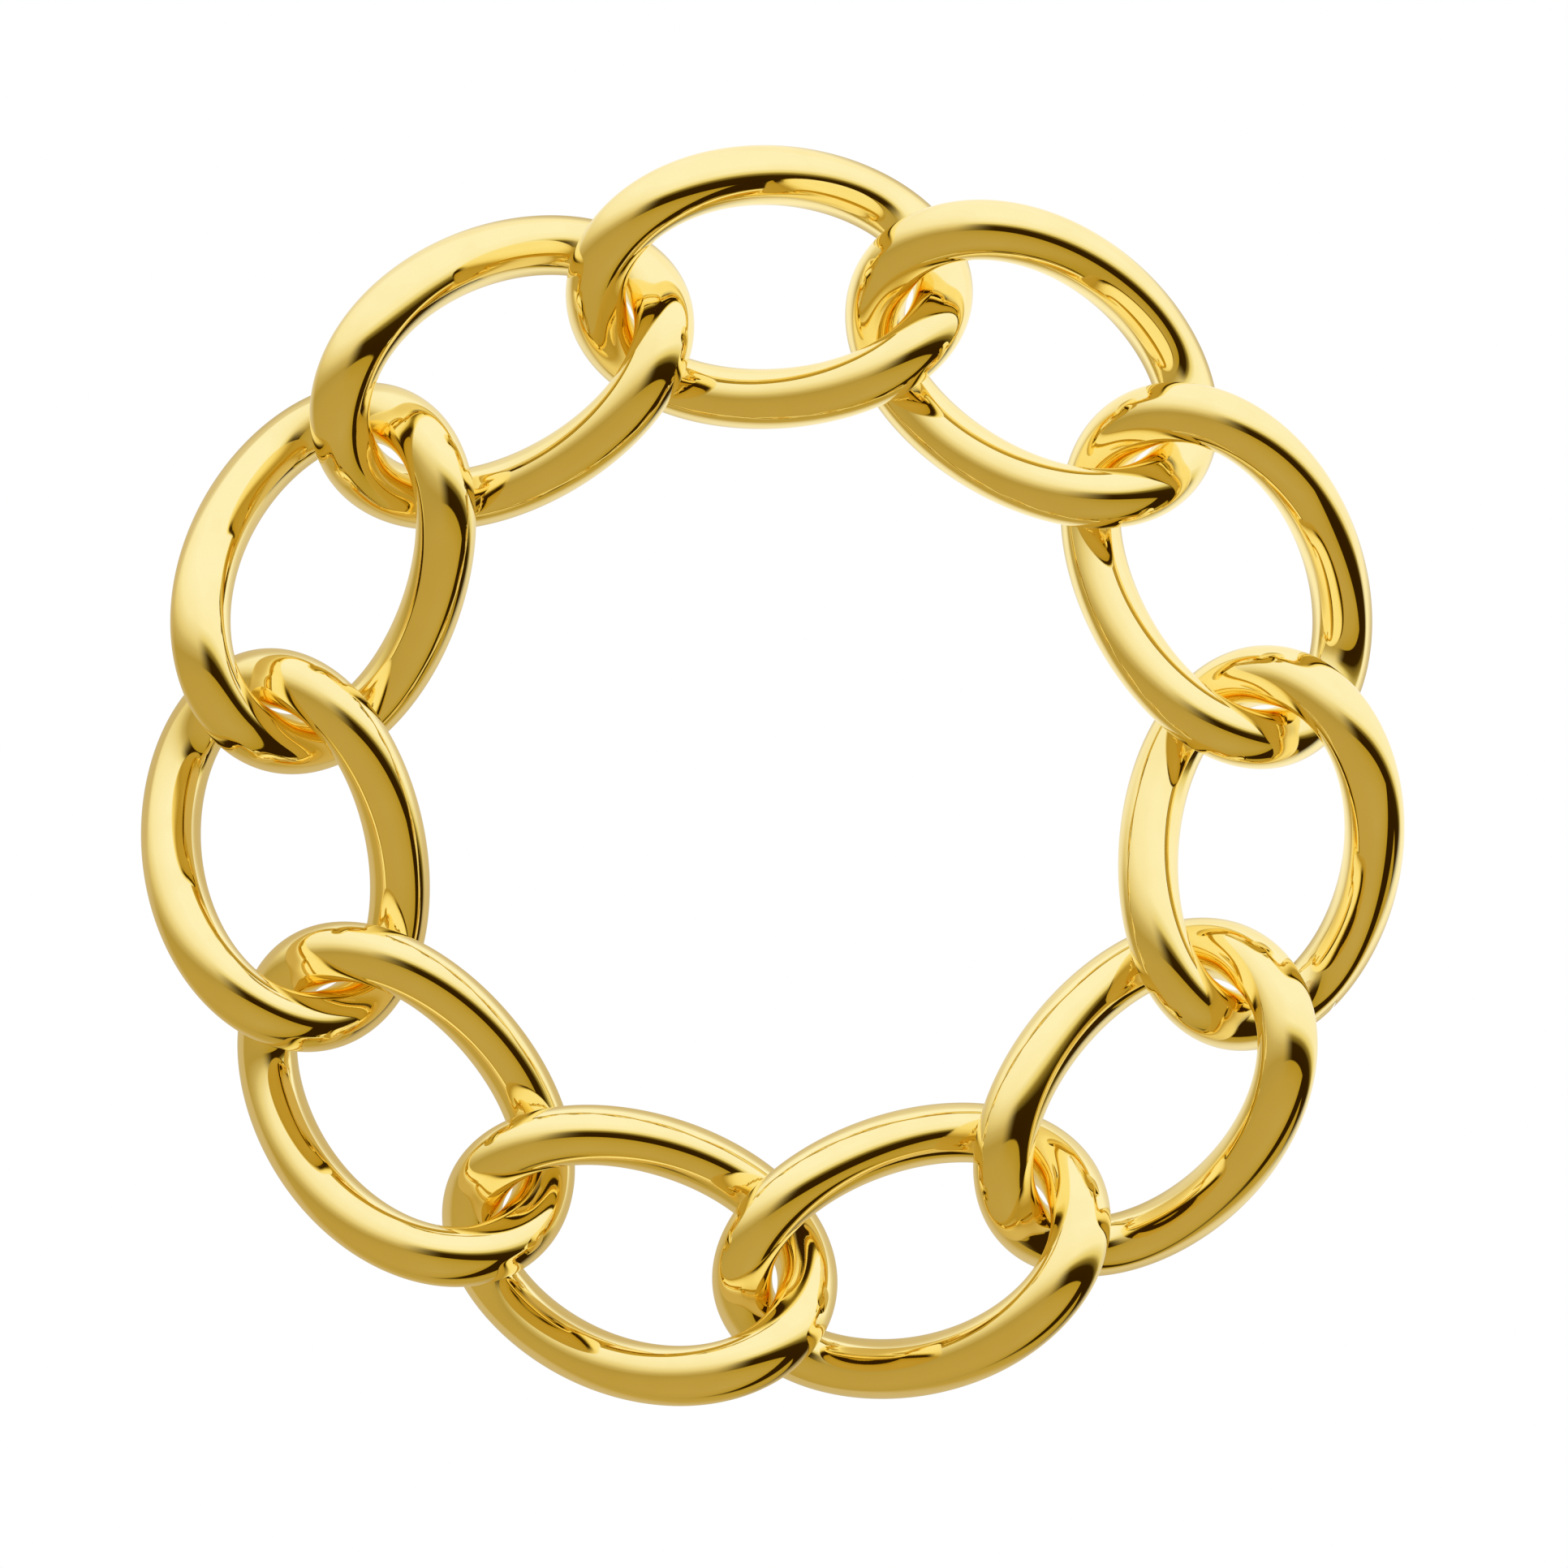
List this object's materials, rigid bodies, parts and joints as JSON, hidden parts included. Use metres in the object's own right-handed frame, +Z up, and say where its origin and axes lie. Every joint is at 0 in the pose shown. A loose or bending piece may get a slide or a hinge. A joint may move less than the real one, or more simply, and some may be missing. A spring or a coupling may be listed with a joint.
{
  "type": "chain necklace",
  "caption": "Short collar necklace of heavy twisted oval curb links in polished yellow gold colour, with a hinged clasp hidden in one link.",
  "frame": {"origin": "centre of the bounding box's bottom face: the table that the necklace lies on", "axes": "+Z up, square to the table; the clasp link lies near +X and the links are numbered counter-clockwise seen from above"},
  "size_m": [0.1683, 0.1676, 0.0241],
  "materials": {
    "gold_plate": "polished",
    "clasp_metal": "polished"
  },
  "bodies": {
    "clasp_link": {"clasp_fixed_half": "gold_plate", "clasp_hinge_pin": "clasp_metal"},
    "clasp_gate": {"clasp_hinged_half": "gold_plate", "clasp_tongue": "clasp_metal"},
    "link_01": {"link_01": "gold_plate"},
    "link_02": {"link_02": "gold_plate"},
    "link_03": {"link_03": "gold_plate"},
    "link_04": {"link_04": "gold_plate"},
    "link_05": {"link_05": "gold_plate"},
    "link_06": {"link_06": "gold_plate"},
    "link_07": {"link_07": "gold_plate"},
    "link_08": {"link_08": "gold_plate"},
    "link_09": {"link_09": "gold_plate"},
    "link_10": {"link_10": "gold_plate"}
  },
  "joints": [
    {"name": "clasp_hinge", "type": "hinge", "parent": "clasp_link", "child": "clasp_gate", "pos_m": [0.07172, -0.02903, 0.00416], "axis": [0.0457, 0.1804, 0.9825], "range_deg": [0, 24]},
    {"name": "fold_01", "type": "hinge", "parent": "clasp_link", "child": "link_01", "pos_m": [0.06714, 0.00902, 0.01301], "axis": [-0.1245, -0.9921, -0.0126], "range_deg": [-5, 5]},
    {"name": "fold_02", "type": "hinge", "parent": "link_01", "child": "link_02", "pos_m": [0.05038, 0.04327, 0.0123], "axis": [-0.1639, 0.9865, -0.003], "range_deg": [-5, 5]},
    {"name": "fold_03", "type": "hinge", "parent": "link_02", "child": "link_03", "pos_m": [0.01892, 0.06496, 0.01203], "axis": [0.4199, -0.9076, 0.0047], "range_deg": [-6, 6]},
    {"name": "fold_04", "type": "hinge", "parent": "link_03", "child": "link_04", "pos_m": [-0.01899, 0.06217, 0.01108], "axis": [-0.6659, 0.7459, -0.0118], "range_deg": [-12, 12]},
    {"name": "fold_05", "type": "hinge", "parent": "link_04", "child": "link_05", "pos_m": [-0.05314, 0.04464, 0.01154], "axis": [0.8433, -0.5374, 0.0072], "range_deg": [-18, 18]},
    {"name": "fold_06", "type": "hinge", "parent": "link_05", "child": "link_06", "pos_m": [-0.06697, 0.00885, 0.01343], "axis": [-0.9598, 0.2807, 0.0068], "range_deg": [-16, 16]},
    {"name": "fold_07", "type": "hinge", "parent": "link_06", "child": "link_07", "pos_m": [-0.06003, -0.02855, 0.0123], "axis": [1, -0.0034, 0.0018], "range_deg": [-10, 10]},
    {"name": "fold_08", "type": "hinge", "parent": "link_07", "child": "link_08", "pos_m": [-0.03589, -0.05785, 0.01085], "axis": [-0.9593, -0.2819, -0.0164], "range_deg": [-6, 6]},
    {"name": "fold_09", "type": "hinge", "parent": "link_08", "child": "link_09", "pos_m": [0.00056, -0.06968, 0.01154], "axis": [-0.8351, -0.5499, -0.0133], "range_deg": [-5, 5]},
    {"name": "fold_10", "type": "hinge", "parent": "link_09", "child": "link_10", "pos_m": [0.03681, -0.0574, 0.01225], "axis": [0.6687, 0.7435, 0.0072], "range_deg": [-5, 5]}
  ]
}
